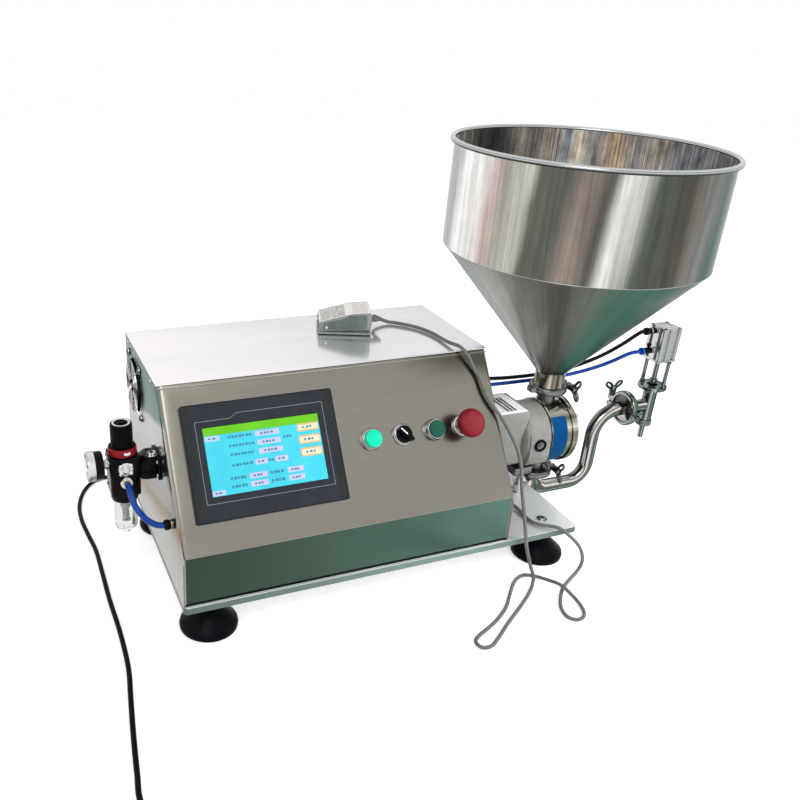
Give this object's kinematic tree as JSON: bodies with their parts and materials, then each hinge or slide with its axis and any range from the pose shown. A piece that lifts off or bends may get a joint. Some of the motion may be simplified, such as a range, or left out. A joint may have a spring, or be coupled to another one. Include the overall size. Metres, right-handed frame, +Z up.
{
  "type": "rotary lobe paste filling machine",
  "caption": "Tabletop paste filler: sloped cabinet with touch screen and buttons, lobe pump under a cone hopper, bent outlet pipe to an air-driven filling valve, air regulator and foot pedal.",
  "frame": {"origin": "on the floor, at the middle of the machine's box without its free cords", "axes": "+X to the machine's right, seen from the front; +Y to its back; +Z up"},
  "size_m": [1.0297, 0.8546, 0.5885],
  "materials": {
    "brushed_sheet": "brushed",
    "polished_sheet": "bright",
    "dark_sheet": "satin",
    "black_rubber": "matt",
    "black_plastic": "matt",
    "screen_frame": "satin",
    "screen_face": "gloss",
    "bright_metal": "polished",
    "green_lens": "gloss",
    "dark_green": "gloss",
    "signal_red": "satin",
    "dark_motor": "satin",
    "cast_grey": "painted",
    "sight_black": "gloss",
    "stainless": "polished",
    "hopper_sheet": "satin",
    "anodised": "satin",
    "black_hose": "satin",
    "blue_hose": "satin",
    "clear_bowl": "clear",
    "pedal_grey": "matt",
    "grey_cord": "matt",
    "black_cord": "matt"
  },
  "bodies": {
    "machine": {"housing_wrap": "brushed_sheet", "top_cover": "polished_sheet", "rear_panel": "polished_sheet", "base_plate": "polished_sheet", "front_skirt": "dark_sheet", "foot_front_left": "black_rubber", "foot_front_right": "black_rubber", "foot_back_left": "black_rubber", "foot_back_right": "black_rubber", "fan_frame": "black_plastic", "regulator_body": "black_plastic", "mains_gland": "black_plastic", "pedal_gland": "black_plastic", "mains_plug": "black_plastic", "pressure_gauge": "black_plastic", "regulator_bracket": "black_plastic", "screen_housing": "screen_frame", "screen_glass": "screen_face", "fan_guard": "bright_metal", "lamp_bezel": "bright_metal", "start_bezel": "bright_metal", "selector_bezel": "bright_metal", "estop_collar": "bright_metal", "regulator_ring": "signal_red", "gearmotor": "dark_motor", "pump_gearbox": "cast_grey", "sight_glass": "sight_black", "rotor_case": "stainless", "pump_cover": "stainless", "hopper_clamp": "stainless", "outlet_clamp": "stainless", "valve_clamp": "stainless", "outlet_pipe": "stainless", "valve_body": "stainless", "valve_nozzle": "stainless", "valve_yoke": "stainless", "pump_support": "stainless", "hopper": "hopper_sheet", "valve_cylinder": "anodised", "air_hose_black": "black_hose", "air_hose_blue": "blue_hose", "regulator_hose": "blue_hose", "filter_bowl": "clear_bowl", "pedal_base": "pedal_grey", "pedal_cord": "grey_cord", "mains_cord": "black_cord", "mains_coil": "black_cord"},
    "fan_rotor": {"fan_impeller": "black_plastic"},
    "lamp_button": {"lamp_cap": "green_lens"},
    "start_button": {"start_cap": "dark_green"},
    "selector": {"selector_knob": "black_plastic"},
    "emergency_stop": {"estop_head": "signal_red"},
    "drive_shaft": {"drive_rotor": "stainless", "shaft_coupling": "stainless"},
    "idler_shaft": {"idler_rotor": "stainless"},
    "hopper_nut": {"hopper_wing_nut": "stainless"},
    "valve_nut": {"valve_wing_nut": "stainless"},
    "filling_piston": {"valve_piston": "stainless"},
    "pressure_knob": {"regulator_knob": "black_plastic"},
    "foot_treadle": {"pedal_treadle": "pedal_grey"}
  },
  "joints": [
    {"name": "fan_spin", "type": "hinge", "parent": "machine", "child": "fan_rotor", "pos_m": [-0.36955, 0.114, 0.255], "axis": [1, 0, 0], "continuous": true},
    {"name": "lamp_press", "type": "slide", "parent": "machine", "child": "lamp_button", "axis": [0, 0.8249, -0.5653], "range_m": [0, 0.003], "stiffness_N_per_m": 1000, "springref_m": -0.002},
    {"name": "start_press", "type": "slide", "parent": "machine", "child": "start_button", "axis": [0, 0.8249, -0.5653], "range_m": [0, 0.003], "stiffness_N_per_m": 1000, "springref_m": -0.002},
    {"name": "selector_turn", "type": "hinge", "parent": "machine", "child": "selector", "pos_m": [-0.06036, -0.07809, 0.22432], "axis": [0, -0.8249, 0.5653], "range_deg": [-90, 0]},
    {"name": "estop_press", "type": "slide", "parent": "machine", "child": "emergency_stop", "axis": [0, 0.8249, -0.5653], "range_m": [0, 0.006]},
    {"name": "pump_drive", "type": "hinge", "parent": "machine", "child": "drive_shaft", "pos_m": [0.22015, 0.017, 0.152], "axis": [1, 0, 0], "continuous": true},
    {"name": "pump_idler", "type": "hinge", "parent": "machine", "child": "idler_shaft", "pos_m": [0.22015, -0.017, 0.152], "axis": [1, 0, 0], "continuous": true},
    {"name": "hopper_nut_turn", "type": "hinge", "parent": "machine", "child": "hopper_nut", "pos_m": [0.26835, 0, 0.225], "axis": [0, -1, 0], "continuous": true},
    {"name": "valve_nut_turn", "type": "hinge", "parent": "machine", "child": "valve_nut", "pos_m": [0.39965, 0.0342, 0.165], "axis": [0, 0, 1], "continuous": true},
    {"name": "piston_stroke", "type": "slide", "parent": "machine", "child": "filling_piston", "axis": [0, 0, 1], "range_m": [0, 0.012]},
    {"name": "pressure_turn", "type": "hinge", "parent": "machine", "child": "pressure_knob", "pos_m": [-0.42585, -0.015, 0.223], "axis": [0, 0, 1], "range_deg": [0, 300]},
    {"name": "treadle_press", "type": "hinge", "parent": "machine", "child": "foot_treadle", "pos_m": [-0.10206, 0.11154, 0.3225], "axis": [0.3379, 0.9412, 0], "range_deg": [0, 3], "stiffness_Nm_per_rad": 8, "springref_deg": -2.86}
  ],
  "couplings": [
    {"joint": "pump_idler", "follows": "pump_drive", "ratio": -1}
  ]
}
